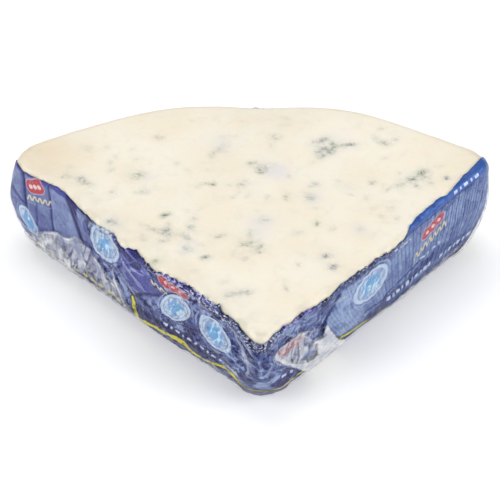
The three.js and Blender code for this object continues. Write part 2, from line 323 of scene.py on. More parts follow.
class Graph:
    """A material's node tree, with short calls for the nodes used here. Sizes are in mm."""

    def __init__(self, name):
        self.material = bpy.data.materials.new(name)
        self.material.use_nodes = True
        self.tree = self.material.node_tree
        self.shader = self.tree.nodes["Principled BSDF"]
        self.colour = None
        place = self.node("TexCoord").outputs["Object"]
        self.place = self.scaled(place, 1 / MM)

    def put(self, socket, value):
        if isinstance(value, bpy.types.NodeSocket):
            self.tree.links.new(value, socket)
        elif socket.type == "RGBA" and len(value) == 3:
            socket.default_value = srgb(*value)
        else:
            socket.default_value = value

    def node(self, kind, inputs=(), **settings):
        made = self.tree.nodes.new("ShaderNode" + kind)
        for key, value in settings.items():
            setattr(made, key, value)
        for key, value in dict(inputs).items():
            self.put(made.inputs[key], value)
        return made

    def vector(self, operation, a, b):
        return self.node("VectorMath", {0: a, 1: b}, operation=operation).outputs[0]

    def scaled(self, a, scale):
        return self.node("VectorMath", {0: a, "Scale": scale}, operation="SCALE").outputs[0]

    def field(self, name):
        return self.node("Attribute", attribute_name=name).outputs["Fac"]

    def sheet(self, warp=0.0, size=6.0):
        """The place on the wrapping, unrolled: mm along it and up it, bent about by warp mm."""
        flat = self.node("CombineXYZ", {"X": self.field("along"), "Y": self.field("up")})
        if not warp:
            return flat.outputs[0]
        bend = self.node("TexNoise", {"Vector": flat.outputs[0], "Scale": 1 / size, "Detail": 2.0})
        bend = self.vector("SUBTRACT", bend.outputs["Color"], (0.5, 0.5, 0.5))
        return self.vector("ADD", flat.outputs[0], self.scaled(bend, 2 * warp))

    def mapped(self, size, stretch, turn, place):
        turned = self.node("VectorRotate", {"Vector": place or self.place,
                                            "Angle": math.radians(-turn)},
                           rotation_type="Z_AXIS").outputs[0]
        return self.vector("MULTIPLY", turned, [1 / (size * s) for s in stretch])

    def noise(self, size, detail=3.0, stretch=(1, 1, 1), turn=0.0, warp=0.0, place=None):
        """Noise, 0 to 1, with features of this size, stretched along axes turned by turn."""
        tex = self.node("TexNoise", {"Vector": self.mapped(size, stretch, turn, place),
                                     "Scale": 1.0, "Detail": detail, "Distortion": warp})
        return tex.outputs["Fac"]

    def facets(self, size, stretch=(1, 1, 1), turn=0.0, place=None):
        """Random flat patches, 0 to 1, like the faces of crumpled foil."""
        tex = self.node("TexVoronoi", {"Vector": self.mapped(size, stretch, turn, place),
                                       "Scale": 1.0})
        return self.node("SeparateColor", {"Color": tex.outputs["Color"]}).outputs[0]

    def creases(self, size, width, stretch=(1, 1, 1), turn=0.0, place=None, detail=2.0):
        """1 on thin wandering lines, falling to 0 beside them; straighter with less detail."""
        value = self.noise(size, detail, stretch, turn, 0.2 * detail, place)
        off = self.math("ABSOLUTE", self.math("SUBTRACT", value, 0.5))
        return self.step(off, width, 0.0)

    def math(self, operation, a, b=0.0, c=0.0, clamp=False):
        made = self.node("Math", {0: a, 1: b, 2: c}, operation=operation, use_clamp=clamp)
        return made.outputs[0]

    def product(self, *values):
        total = values[0]
        for value in values[1:]:
            total = self.math("MULTIPLY", total, value)
        return total

    def step(self, value, low, high, to_low=0.0, to_high=1.0):
        made = self.node("MapRange", {"Value": value, "From Min": low, "From Max": high,
                                      "To Min": to_low, "To Max": to_high},
                         interpolation_type="SMOOTHSTEP")
        return made.outputs[0]

    def mix(self, share, a, b):
        made = self.node("Mix", data_type="RGBA")
        for index, value in ((0, share), (6, a), (7, b)):
            self.put(made.inputs[index], value)
        return made.outputs[2]

    def paint(self, share, colour):
        """Lay a colour over what is painted so far."""
        self.colour = self.mix(share, self.colour, colour)

    def bump(self, height, distance, strength, normal=None):
        made = self.node("Bump", {"Height": height, "Distance": distance * MM,
                                  "Strength": strength})
        if normal is not None:
            self.put(made.inputs["Normal"], normal)
        return made.outputs[0]

    def set(self, **values):
        for key, value in values.items():
            self.put(self.shader.inputs[key.replace("_", " ")], value)


def cheese_material():
    g = Graph("cheese_paste")
    g.colour = (250, 242, 225)
    g.paint(g.step(g.noise(26, 2), 0.35, 0.7), (248, 237, 215))
    g.paint(g.product(g.step(g.noise(6, 4, warp=1.0), 0.5, 0.72), 0.3), (231, 229, 212))
    g.paint(g.field("tan"), (233, 214, 181))
    g.paint(g.field("lilac"), (231, 228, 230))
    # Painted shade on the paste along the cut edges, where it meets the foil.
    painted_edge_shade = g.product(g.field("rim"), g.step(g.noise(5.0, 3), 0.36, 0.64, 0.4, 1.15))
    g.paint(g.math("MULTIPLY", painted_edge_shade, 0.55, clamp=True), (208, 203, 182))
    clump = g.step(g.noise(3.0, 2, (1.5, 1, 1), -20), 0.34, 0.58, 0.45, 1.25)
    speck = g.step(g.noise(1.05, 3, (1.35, 1, 1), -22, 0.5), 0.38, 0.62, 0.45, 1.4)
    halo = g.product(g.field("halo"), g.step(g.noise(2.2, 3), 0.34, 0.66, 0.3, 1.1))
    vein = g.product(g.field("mould"), clump, speck)
    tint = g.step(g.noise(14, 1), 0.42, 0.58)
    g.paint(g.math("MULTIPLY", halo, 0.6, clamp=True),
            g.mix(tint, (208, 211, 194), (206, 209, 204)))
    g.paint(g.math("MULTIPLY", vein, 0.88, clamp=True),
            g.mix(tint, (136, 143, 121), (134, 140, 138)))
    g.paint(g.product(g.step(g.noise(0.9, 2), 0.72, 0.8), 0.25), (196, 190, 168))
    g.set(Base_Color=g.colour, Roughness=g.step(g.noise(9, 4), 0.3, 0.7, 0.42, 0.62))
    g.set(Specular_IOR_Level=0.35, Subsurface_Weight=0.12, Subsurface_Scale=0.002)
    fine = g.bump(g.noise(1.6, 4), 0.12, 0.7)
    g.set(Normal=g.bump(g.product(g.noise(0.7, 3), g.field("mould")), 0.5, 0.6, fine))
    return g.material


PLEAT_PITCH, BROAD_PLEAT_PITCH = 1.9, 3.7  # the pleats' painted light and shade in the colour, and in the shape
PLEAT_DEPTH = 0.16


def tones(g, light, dark, middle, pale):
    """From dark to middle as light goes from 0 to a half, and on to pale."""
    lower = g.mix(g.step(light, 0.0, 0.5), dark, middle)
    return g.mix(g.step(light, 0.5, 1.1), lower, pale)


def foil_base(g):
    """The foil's blues, with painted shade in its creases and painted light on the faces that turn
    up.
    """
    crumple, pleat = g.field("crumple"), g.field("pleat")
    crumpled = g.sheet(3.0, 7.0)
    # Painted light and shade: crumpled faces lighter or darker, dark crease lines, bright
    # highlight lines.
    big = g.facets(7.0, (1.0, 1.5, 1), 35, crumpled)
    small = g.facets(2.8, (1.0, 1.4, 1), -30, crumpled)
    patch = g.math("ADD", g.product(big, 0.55), g.product(small, 0.45))
    patch = g.product(g.math("SUBTRACT", patch, 0.5), crumple, 1.5)
    light = g.math("ADD", g.field("light"), patch)
    painted_crease_shade = g.creases(7.0, 0.03, (1, 1.6, 1), 25, g.sheet(2.0, 5.0))
    light = g.math("SUBTRACT", light, g.product(painted_crease_shade, crumple, 0.5))
    painted_highlight_line = g.creases(5.5, 0.024, (1, 2.2, 1), -38, g.sheet(2.0, 5.0))
    light = g.math("ADD", light, g.product(painted_highlight_line, crumple, 0.45))
    # Painted light and shade of the fine pleats: grooves darker than their ridges.
    slant = g.math("MULTIPLY_ADD", g.field("up"), g.field("slant"), g.field("along"))
    wander = g.product(g.noise(10, 1, (1, 5, 1), 0, 0, g.sheet()), 2.2)
    wave = g.math("SINE", g.product(g.math("ADD", slant, wander), 2 * math.pi / PLEAT_PITCH))
    strand = g.step(g.noise(3.0, 1, (1, 9, 1), 0, 0, g.sheet()), 0.3, 0.6, 0.15, 1.0)
    groove = g.math("SUBTRACT", 0.3, g.step(wave, 0.1, 0.9))
    light = g.math("ADD", light, g.product(groove, pleat, strand, 0.3))
    g.colour = tones(g, light, (12, 10, 74), (70, 80, 136), (140, 155, 192))
    g.paint(g.field("blue"), tones(g, light, (16, 28, 94), (74, 94, 148), (146, 166, 200)))
    g.paint(g.field("vivid"), tones(g, light, (8, 4, 92), (62, 60, 156), (172, 172, 222)))


def foil_print(g):
    """The print's generic shapes, worn through in places."""
    worn = g.step(g.noise(1.7, 3, place=g.sheet(1.5, 3.0)), 0.32, 0.46, 0.45, 1.0)
    oval, badge, stripe = g.field("oval"), g.field("badge"), g.field("stripe")
    streak = g.noise(1.6, 2, (1, 4.0, 1), -16, 0.4, g.sheet(1.2, 5.0))
    outer = g.mix(g.step(streak, 0.4, 0.62), (132, 154, 192), (190, 208, 226))
    inner = g.mix(g.step(streak, 0.5, 0.62), (98, 160, 208), (198, 220, 234))
    g.paint(g.product(g.step(oval, 0.84, 0.74), worn, 0.9),
            g.mix(g.step(oval, 0.56, 0.46), outer, inner))
    ring = g.product(g.step(oval, 0.78, 0.85), g.step(oval, 1.04, 0.98), worn)
    g.paint(g.product(ring, 0.8), (194, 212, 230))
    rim = g.product(g.step(oval, 1.12, 1.16), g.step(oval, 1.25, 1.21), worn)
    g.paint(g.product(rim, g.step(g.noise(7, 1), 0.44, 0.56), 0.6), (160, 178, 214))
    g.paint(g.product(g.step(badge, 0.65, 0.45), worn, 0.55), (206, 178, 190))
    g.paint(g.product(g.step(badge, 0.1, -0.2), worn),
            g.mix(g.noise(2.2, 3), (150, 38, 52), (196, 66, 70)))
    dots = g.product(g.step(g.field("dots"), 0.15, -0.15), worn)
    g.paint(g.product(dots, 0.85), (226, 206, 208))
    g.paint(g.step(stripe, 0.85, 0.5), (40, 42, 66))
    broken = g.step(g.noise(3.0, 3, place=g.sheet()), 0.34, 0.42, 0.25, 1.0)
    g.paint(g.product(g.step(stripe, 0.1, -0.15), broken),
            g.mix(g.noise(2.5, 2), (176, 168, 44), (222, 214, 78)))
    g.paint(g.product(g.step(g.field("mark"), 0.12, -0.12), worn, 0.85), (202, 212, 234))
    turn = g.product(g.field("along"), 2 * math.pi / SCRIPT_WAVE)
    slope = g.product(g.math("COSINE", turn), SCRIPT_SLOPE)
    steep = g.math("SQRT", g.math("MULTIPLY_ADD", slope, slope, 1.0))
    off = g.math("ABSOLUTE", g.math("SUBTRACT", g.field("script"), g.math("SINE", turn)))
    pen = g.step(g.math("DIVIDE", off, steep), 0.65, 0.4)
    g.paint(g.product(pen, worn, 0.85), (212, 202, 160))


def foil_material():
    g = Graph("printed_foil")
    foil_base(g)
    g.paint(g.field("royal"), g.mix(g.noise(5, 2), (40, 72, 146), (66, 106, 178)))
    foil_print(g)
    # The torn edge's flecks: painted glints and painted shade in its crumples.
    frill, ragged = g.field("frill"), g.sheet(1.0, 3.0)
    painted_glint_flecks = g.product(g.step(g.noise(0.75, 2, (1.8, 1, 1), 0, 0, ragged), 0.54, 0.6), frill)
    painted_shade_flecks = g.product(g.step(g.noise(0.95, 2, (1.8, 1, 1), 12, 0, ragged), 0.52, 0.58), frill)
    g.paint(g.product(painted_shade_flecks, 0.9), (24, 22, 40))
    g.paint(g.product(painted_glint_flecks, 0.85),
            g.mix(g.step(g.field("blue"), 0.65, 1.0), (206, 208, 226), (188, 186, 146)))
    g.set(Base_Color=g.colour, Metallic=0.2, Specular_IOR_Level=0.3)
    g.set(Roughness=g.step(g.noise(4, 3), 0.3, 0.7, 0.28, 0.5))
    coarse = g.bump(g.noise(3.2, 3, warp=0.6, place=g.sheet(2.0, 5.0)), 0.9,
                    g.math("MULTIPLY_ADD", g.field("crumple"), 0.7, 0.15))
    pleats = g.bump(g.product(g.noise(0.9, 2, (1, 14, 1), place=g.sheet()), g.field("pleat")),
                    0.5, 0.7, coarse)
    g.set(Normal=g.bump(g.noise(0.9, 3), 0.25, 0.35, pleats))
    return g.material


def film_material():
    g = Graph("clear_film")
    haze_and_reflection = g.field("haze_and_reflection")
    cloud = g.step(g.noise(5, 3, (1, 2.4, 1), -30, 0.8, g.sheet(2.0, 6.0)), 0.34, 0.58, 0.45, 1.0)
    # Painted highlights: thin bright wrinkle lines on the film, also used for its bumps.
    crossing = [g.creases(3.6, 0.022, (1, 6.0, 1), 30, g.sheet(0.8, 9.0), 0.0),
                g.creases(4.4, 0.02, (1, 6.0, 1), -52, g.sheet(0.8, 9.0), 0.0),
                g.creases(2.8, 0.026, (1, 4.0, 1), -22, g.sheet(1.0, 6.0), 0.0)]
    lines = g.math("MAXIMUM", g.math("MAXIMUM", *crossing[:2]), g.product(crossing[2], 0.6))
    some = g.step(g.noise(8, 2), 0.5, 0.64)
    line = g.product(lines, g.math("MULTIPLY_ADD", haze_and_reflection, 0.5, g.product(some, 0.3)),
                     g.math("MULTIPLY_ADD", g.field("calm"), -0.8, 1.0))
    cracks = g.creases(5.0, 0.07, (1, 4.0, 1), -28, g.sheet(1.5, 8.0), 1.0)
    thin = g.product(cracks, g.step(haze_and_reflection, 0.95, 0.7), 0.85)
    veil_and_reflection = g.product(haze_and_reflection, g.math("MAXIMUM", cloud, g.step(haze_and_reflection, 0.75, 0.95)),
                     g.math("SUBTRACT", 1.0, thin))
    edge_on = g.node("LayerWeight", {"Blend": 0.2}).outputs["Fresnel"]
    alpha = g.math("ADD", g.product(veil_and_reflection, 0.88), g.math("ADD", line, g.field("crest")))
    alpha = g.product(g.math("ADD", alpha, g.product(edge_on, 0.1)), g.field("cover"))
    # The film's whitish colour carries its painted haze, reflections and highlights; darker
    # towards the bottom.
    g.colour = g.mix(g.step(g.noise(6, 2), 0.36, 0.64), (194, 198, 210), (228, 229, 232))
    g.paint(g.step(g.field("up"), 13, 7), (184, 184, 175))
    g.set(Base_Color=g.colour, Alpha=g.math("MINIMUM", alpha, 0.92))
    g.set(Roughness=g.step(g.noise(5, 3), 0.3, 0.7, 0.1, 0.28))
    soft = g.bump(g.noise(2.6, 3, (1, 2, 1), 30, 0.8, g.sheet(2.0, 5.0)), 1.0, 0.5)
    g.set(Normal=g.bump(lines, 0.35, 0.6, soft))
    return g.material


FLOOR_GLOW = 0.26  # the floor is lit a little from below, like a studio light table


def floor_material():
    g = Graph("pale_floor")
    g.set(Base_Color=g.mix(g.noise(90, 2), (0.95, 0.95, 0.95, 1), (0.97, 0.97, 0.97, 1)),
          Roughness=0.8)
    g.set(Emission_Color=(1, 1, 1, 1), Emission_Strength=FLOOR_GLOW)
    return g.material


# ---- The cheese ------------------------------------------------------------------------

# The main veins on the top face: x, y from the apex, half length, half width (mm), turn
# (degrees), darkness. Each is broken into flecks, and faint flecks lie between them.
VEINS = [
    (-45.3, 124.5, 2.2, 1.2, 10, 0.4), (-66.8, 106.5, 1.7, 0.8, 80, 0.25),
    (-65.3, 102.3, 1.5, 0.7, 10, 0.35), (-87, 97, 1, 0.9, 0, 0.2), (-84.5, 98, 2.4, 1, -55, 0.25),
    (-77.5, 94.2, 3.7, 1.3, -28, 0.8), (-53.2, 98, 2.6, 1.7, 15, 0.5),
    (-36, 106.3, 1.3, 1.1, 0, 0.2), (-20, 92, 1.2, 1, 0, 0.6), (-24, 92, 3.2, 0.9, 0, 0.25),
    (-7, 92, 2.4, 1.7, 75, 0.4), (-49.8, 87, 1.5, 1.2, -70, 0.4), (-53.5, 87, 2, 0.7, 0, 0.15),
    (-64.3, 87, 3, 0.9, 85, 0.18), (-17.3, 117, 4.6, 0.9, 25, 0.3),
    (-15.5, 121, 2.6, 0.9, 50, 0.2), (-20.3, 113, 2.4, 0.8, 70, 0.22),
    (7.5, 125.5, 2.6, 1.4, -15, 0.25), (9.8, 124, 1.2, 0.8, -35, 0.25),
    (6.5, 118.5, 3.4, 0.7, 90, 0.14), (-2, 106.5, 2.3, 0.8, 25, 0.6),
    (3, 103.4, 2.7, 1.3, -15, 0.6), (1, 100.5, 1.8, 1, -50, 0.6), (3.6, 99.7, 1.6, 0.6, 5, 0.3),
    (8, 105, 2.6, 0.7, -35, 0.15), (13.8, 96.7, 0.7, 1, 0, 0.25), (30.4, 121, 3, 1.2, 25, 0.5),
    (26, 119.7, 1.3, 0.9, 0, 0.3), (34.2, 118.4, 1.1, 0.8, -20, 0.5),
    (34.5, 115.8, 1.7, 0.9, 25, 0.5), (30.5, 114.4, 2.4, 0.9, 5, 0.9),
    (33, 112.2, 2, 0.9, 30, 0.55), (29.7, 110.2, 1.8, 0.9, 35, 0.7), (27.6, 113, 2, 1.2, 20, 0.3),
    (41.8, 117.2, 2.9, 0.7, 0, 0.8), (38, 117, 1.6, 0.6, 0, 0.35),
    (54.5, 122.3, 1.3, 0.9, -60, 0.3), (57.3, 118.6, 2.8, 0.9, -28, 0.5),
    (63.5, 120.7, 2.6, 0.8, 5, 0.25), (57.5, 108.7, 1.6, 1, 0, 0.2),
    (63.2, 98.4, 0.5, 0.9, 0, 0.3), (74.7, 99.7, 2.1, 1.2, 30, 0.8), (72.7, 98.3, 1.3, 1, 0, 0.45),
    (74.8, 95.8, 1.4, 0.7, 25, 0.4), (69, 94.6, 2.6, 1, 15, 0.7), (70.2, 90, 2, 0.7, -40, 0.4),
    (62.8, 90.6, 2.8, 0.8, 30, 0.5), (57.6, 87.4, 2.6, 0.6, 40, 0.2),
    (76.8, 92.2, 1.6, 1, 20, 0.2), (81.6, 103, 1.8, 0.8, 15, 0.25),
    (84.5, 95.5, 1.6, 1.1, 55, 0.7), (50.6, 92, 1.6, 1.1, 80, 0.4),
    (25.2, 91.4, 1.5, 1.2, 50, 0.3), (24, 89.8, 2.5, 0.7, 15, 0.25),
    (21.4, 83.8, 1.4, 1, 20, 0.45), (23.6, 82, 1.6, 1.2, 30, 0.35), (4, 82.3, 1.4, 1, 0, 0.3),
    (12, 82, 0.9, 1.6, 0, 0.3), (47.5, 82, 1.8, 1.1, 70, 0.25), (50, 75.4, 1.8, 0.9, 30, 0.15),
    (57, 75, 1.6, 1.3, 60, 0.2), (52.5, 69.4, 1.6, 0.8, -55, 0.25), (59.3, 69, 1.1, 1.3, 0, 0.25),
    (24.8, 65, 0.5, 0.6, 0, 0.9), (31, 61.8, 1.5, 0.9, 40, 0.3), (43, 62, 1.6, 1.2, -50, 0.25),
    (16.5, 59.4, 2.5, 1, 10, 0.22), (27.4, 45.5, 1.8, 0.9, 15, 0.5),
    (30.2, 38.9, 2.1, 1.2, -10, 0.8), (15.5, 40.4, 0.9, 1.1, 0, 0.2),
    (10.3, 27.5, 0.6, 1.9, 0, 0.25), (-5.5, 24.9, 2.2, 0.8, 20, 0.8),
    (-9.5, 24.2, 1.6, 0.6, 5, 0.45), (-12.8, 23.5, 2, 1.1, 30, 0.35),
    (-6.3, 43.6, 1.3, 0.6, 60, 0.35), (-10.5, 46.8, 1.3, 0.6, 80, 0.25),
    (-22.3, 45.2, 1.6, 0.8, 0, 0.7), (-43, 43, 1.2, 0.9, -30, 0.45),
    (-64, 68.4, 1.6, 1.1, -20, 0.45), (-61.6, 67.3, 1.6, 0.8, -20, 0.35),
    (-39.7, 72, 1.4, 1.2, 20, 0.75), (-41, 70.8, 1.2, 0.8, 0, 0.4),
    (-27.7, 69, 1.1, 0.8, 10, 0.45), (-29.4, 64.3, 1.5, 0.8, -15, 0.4),
    (-38.7, 65, 2.3, 0.6, 80, 0.35), (-38.5, 62.5, 1.4, 0.8, 40, 0.45),
    (-46.5, 63.6, 5.2, 0.6, -22, 0.35), (-38.6, 60, 3.2, 0.9, -20, 0.5),
    (-40.5, 55.3, 2.5, 0.7, 15, 0.5), (-49.3, 57.6, 2.8, 0.7, -75, 0.25),
    (-31.5, 59, 1.6, 1.1, 50, 0.45), (-30, 56.6, 1.5, 0.7, -60, 0.3),
    (-30.7, 51.5, 2.1, 0.7, 85, 0.4), (-28.3, 49.4, 1, 0.6, 30, 0.35),
    (-16.5, 58.4, 2.4, 1, 20, 0.55), (-4, 59, 1.8, 0.9, 80, 0.4), (-6.8, 52.4, 1.7, 0.8, -20, 0.5),
    (-3.8, 53, 2.7, 0.8, 15, 0.4), (0, 50.3, 1.7, 0.7, 85, 0.8), (0.2, 47.8, 0.8, 0.5, 90, 0.4),
    (2, 67.6, 3, 1, 5, 0.2),
]
FLECKS_A_VEIN, FAINT_FLECKS = 3, 70
FLECK_REACH = 158  # how far from the apex the faint flecks go
MOULD_STRENGTH, MOULD_LIMIT = 1.55, 0.86
PIT_DEPTH = 0.35

# Pale lilac bloom: x, y, reach (mm), share
BLOOMS = [
    (8.5, 100, 6, 0.7), (24, 82, 4, 0.6), (-62, 67, 5, 0.4), (1, 66, 6, 0.5), (-30, 51, 4, 0.4),
    (-17, 120, 7, 0.3), (36, 119, 8, 0.3), (43, 61, 4, 0.35), (-50, 97, 4, 0.4), (73, 95, 5, 0.3),
    (-1, 58, 5, 0.3),
]
TAN_PATCHES = [(-92, 108, 16, 0.48), (-104, 112, 12, 0.3), (104, 108, 18, 0.4)]
RIND_TINT, RIND_TINT_REACH = 0.24, 6.0  # how tan the paste is at the rind, and how far in


def blot(x, y, marks, spread=1.0):
    """The sum of oval blots; each mark is x, y, half length, half width, turn, strength."""
    total = np.zeros_like(x)
    for cx, cy, length, width, turn, strength in marks:
        near = np.hypot(x - cx, y - cy) < 3.2 * length * spread
        a, b = turned(x[near], y[near], cx, cy, turn)
        total[near] += strength * np.exp(-((a / length) ** 2 + (b / width) ** 2) / spread**2)
    return total


def scattered_flecks():
    """The small flecks that the veins are made of, as marks for blot."""
    draw = np.random.default_rng(11)
    marks = []
    for x, y, length, width, turn, dark in VEINS:
        for _ in range(FLECKS_A_VEIN):
            a, b = draw.uniform(-0.55, 0.55) * length, draw.uniform(-0.6, 0.6) * width
            dx, dy = turned(a, b, 0, 0, -turn)
            size = draw.uniform(0.6, 1.0)
            marks.append((x + dx, y + dy, size * length, size * width + 0.15,
                          turn + draw.uniform(-25, 25), dark * draw.uniform(0.22, 0.42)))
    for _ in range(FAINT_FLECKS):
        far = FLECK_REACH * math.sqrt(draw.uniform(0.03, 0.8))
        way = draw.uniform(-0.9, 0.9) * CUT_ANGLE
        marks.append((far * math.sin(way), far * math.cos(way), draw.uniform(0.8, 2.6),
                      draw.uniform(0.5, 1.0), draw.uniform(-40, 60), draw.uniform(0.05, 0.13)))
    return marks


def rounds(x, y, spots):
    """The sum of soft round spots."""
    total = np.zeros_like(x)
    for cx, cy, reach, share in spots:
        total += share * np.exp(-((x - cx) ** 2 + (y - cy) ** 2) / reach**2)
    return total


def cheese_fields(points, inset):
    """Fields for the paste's colour and its painted shade at the cut edges: inset is the mm
    inwards from the top's flat part's rim.
    """
    x, y, z = points.T
    on_top = ramp(z, HEIGHT - 3, HEIGHT - 0.5)
    flecks = scattered_flecks()
    mould = 0.8 * blot(x, y, [(a, b, c + 0.3, d + 0.35, e, f) for a, b, c, d, e, f in flecks])
    mould *= on_top
    wide = [(a, b, c + 1.2, d + 1.3, e, f) for a, b, c, d, e, f in flecks]
    halo = 1.1 * blot(x, y, wide, 1.4) * on_top
    to_rind = RIND_RADIUS - np.hypot(x - RIND_CENTRE[0], y - RIND_CENTRE[1])
    wobble = noise_of(points, 22, 4.0)
    tan = RIND_TINT * ramp(to_rind + 4 * wobble, RIND_TINT_REACH, -1.0)
    tan = np.clip(tan + rounds(x, y, TAN_PATCHES) * (1 + 0.5 * wobble), 0, 1)
    lilac = rounds(x, y, BLOOMS) * on_top
    to_cut = (y - np.abs(x)) * math.sin(CUT_ANGLE)
    left = ramp(x, 4, -4)
    # rim: painted shade along the cut edges where the paste meets the foil, more on the left.
    rim = 0.9 * ramp(inset, 0.8, -2.2) * ramp(to_cut, 12.0, 8.0)
    rim += 0.35 * left * ramp(to_cut, 15.0, 3.0)
    return {"mould": np.clip(mould * MOULD_STRENGTH, 0, MOULD_LIMIT), "rim": rim,
            "halo": np.clip(halo, 0, 0.8), "tan": tan, "lilac": np.clip(lilac, 0, 1)}


def cheese_relief(points):
    """How far the cheese's surface stands out or in, in mm."""
    soft = 0.35 * noise_of(points, 30, 1.3) + 0.12 * noise_of(points, 9, 7.7)
    return soft + 0.05 * noise_of(points, 2.6, 3.1)


def fill_top(rim):
    """Points inside the rim, spread evenly, how far each is from it, and their triangles."""
    low, high = rim.min(0), rim.max(0)
    row_step = TOP_PITCH * math.sqrt(3) / 2
    ys = np.arange(low[1], high[1], row_step)
    grid = []
    for i, y in enumerate(ys):
        xs = np.arange(low[0] + (i % 2) * TOP_PITCH / 2, high[0], TOP_PITCH)
        grid.append(np.stack([xs, np.full_like(xs, y)], 1))
    grid = np.concatenate(grid)
    inset = -polygon_gap(*grid.T, rim.tolist())
    keep = inset > 0.55 * TOP_PITCH
    flat = np.concatenate([rim, grid[keep]])
    ring = [(i, (i + 1) % len(rim)) for i in range(len(rim))]
    _, _, faces, source, _, _ = delaunay_2d_cdt(
        [Vector(p) for p in flat.tolist()], ring, [], 1, 1e-7)
    return flat, inset[keep], [[source[v][0] for v in f] for f in faces]


def make_cheese(st):
    place = np.repeat(np.array(CHEESE_ROWS)[:, None], st.count, 1)
    bare = skin(st, place, np.zeros_like(place))
    relief = cheese_relief(bare) * ramp(place, 0.6, 1.1)
    sides = skin(st, place, relief + sagging(st, place))
    rim = sides[-1]
    flat, inset, tris = fill_top(rim[:, :2])
    x, y = flat.T
    top = np.stack([x, y, HEIGHT + swelling(TOP_SWELLS, x, y, HEIGHT)], 1)
    pits = PIT_DEPTH * np.clip(blot(x, y, scattered_flecks()) * 1.7, 0, 1)
    top[:, 2] += cheese_relief(top) - pits
    points = np.concatenate([sides.reshape(-1, 3), top[st.count:], [[*MIDDLE, CHEESE_BASE]]])
    first = (len(place) - 1) * st.count
    faces = band_faces(len(place), st.count) + [[first + v for v in f] for f in tris]
    faces += cap_faces(range(st.count), len(points) - 1, True)
    over = (place - 3) * st.edge_round * math.pi / 2
    inset = np.concatenate([over.ravel(), inset, [-FAR]])
    add_piece("cheese_wedge", points, faces, cheese_fields(points, inset), cheese_material(),
              "cheese")


# ---- The foil --------------------------------------------------------------------------

# The print, by place along the side (mm from the apex, left side negative) and height
OVALS = [  # centre along, height, half width, half height, turn
    (-147.5, 26.5, 4.2, 7.6, 14), (-93.1, 44, 11, 8.9, 32), (-48.2, 36.3, 10.4, 6.6, 50),
    (-25.3, 37.2, 9.8, 8.2, -38), (63.5, 40, 10.8, 9.5, 11),
]
BADGES = [  # centre along, height, half length, half height, turn
    (-140.4, 48.4, 6, 3.5, 21), (-48.8, 48.8, 8, 2.5, -4), (15.8, 37, 7.4, 3.1, 4),
    (107.5, 43.8, 8.4, 2.9, 14),
]
SCRIPTS = [  # start and end (along, height), wave height: a loose wavy line
    ((-146.5, 40.2), (-130.4, 43.6), 0.95), ((-62, 44.2), (-53, 42.6), 0.8),
    ((94.5, 33), (119, 39.5), 1.25),
]
SCRIPT_WAVE = 3.3  # mm from one wave to the next
SCRIPT_SLOPE = 1.8  # the waves' steepest slope
DASH_PITCH = 3.7  # mm from one dash or dot of a row to the next
STRIPE = [  # along, height, half width of the yellow stripe
    (-272, 10.5, 0.8), (-200, 9, 0.9), (-160, 10, 1), (-148, 12, 1.2), (-130, 11.4, 1.2),
    (-112, 11.4, 1.2), (-98, 13.4, 1.1), (-90, 13.8, 1), (-82, 10.5, 0.7), (-75.5, 10.5, 0.7),
    (-70, 9.6, 1), (-66, 11, 1.3), (-59.8, 11.2, 1.2), (-49.5, 14, 1.3), (-43.8, 14.6, 1.8),
    (-39, 13.4, 2), (-35, 12, 1.4), (-26.7, 11.4, 0.9), (-20, 13.4, 0.9), (-15, 15.8, 1.4),
    (-9, 16.2, 1.1), (-3.7, 13.6, 0.6), (1.2, 13.2, 0.2), (3.1, 12, 0.4), (14.8, 11.6, 1.1),
    (30, 13.2, 0.8), (41, 15.2, 1.1), (51.6, 12.8, 0.9), (62, 11.6, 0.8), (88, 8.4, 0.7),
    (130, 6.5, 0.9), (160, 8, 0.9), (200, 9, 0.9), (272, 10.5, 0.8),
]
BRANCH, BRANCH_HALF = [(-74.6, 22.6), (-74.2, 15.0), (-71.0, 10.5), (-68.0, 9.6)], 1.35
MARK_ROWS = [  # start and end (along, height), half height of a row of pale dashes and dots
    ((-54.5, 20.6), (-16.5, 21.6), 1), ((4.6, 21.6), (13, 18.2), 1.2),
    ((77, 17.4), (113, 18.6), 1.3), ((119, 18.4), (143.5, 18.8), 1.2),
    ((121, 53.1), (139, 53.5), 0.5), ((-143.5, 16.8), (-135, 16.8), 1),
    ((-127, 17.6), (-114.5, 18.8), 1), ((100.5, 28), (117, 29.4), 0.55),
    ((77, 49.6), (91, 48.4), 0.5),
]
BACK_START, BACK_PITCH = 176.0, 52.0  # where the back's print starts, and how far on it repeats
NAVY_PATCHES = [  # along, height, half length, half height, turn, share
    (-70, 16, 4, 5, 0, 0.9), (-40, 18.5, 24, 4, 2, 0.9), (84, 19.5, 10, 3.4, -4, 0.8),
    (101, 21.5, 12, 4, 6, 0.8), (118, 21.5, 9, 4, 4, 0.6), (134, 19.5, 12, 3.6, 0, 0.45),
    (72, 16, 9, 3.5, 0, 0.8), (52, 14.5, 9, 2.5, 0, 0.4), (36, 44, 3, 4.5, 40, 0.6),
    (-30, 49.5, 9, 1.6, 0, 0.6), (-4, 44, 5, 3, -50, 0.5), (0.5, 36, 3.2, 6, 0, 0.5),
    (-14, 27, 5, 2.2, -30, 0.5),
]
VIVID_PATCHES = [  # the same, where the blue is vivid and violet
    (22, 52.5, 13, 2.4, 0, 1), (-70, 44, 13, 9, -12, 0.35), (-44, 52.5, 16, 2.2, 0, 0.8),
    (-92, 53, 10, 1.6, 0, 0.6),
]
CALM_PATCH = (-69, 41, 15, 12, 0, 0.75)  # the same, where the crumpled foil lies smoother
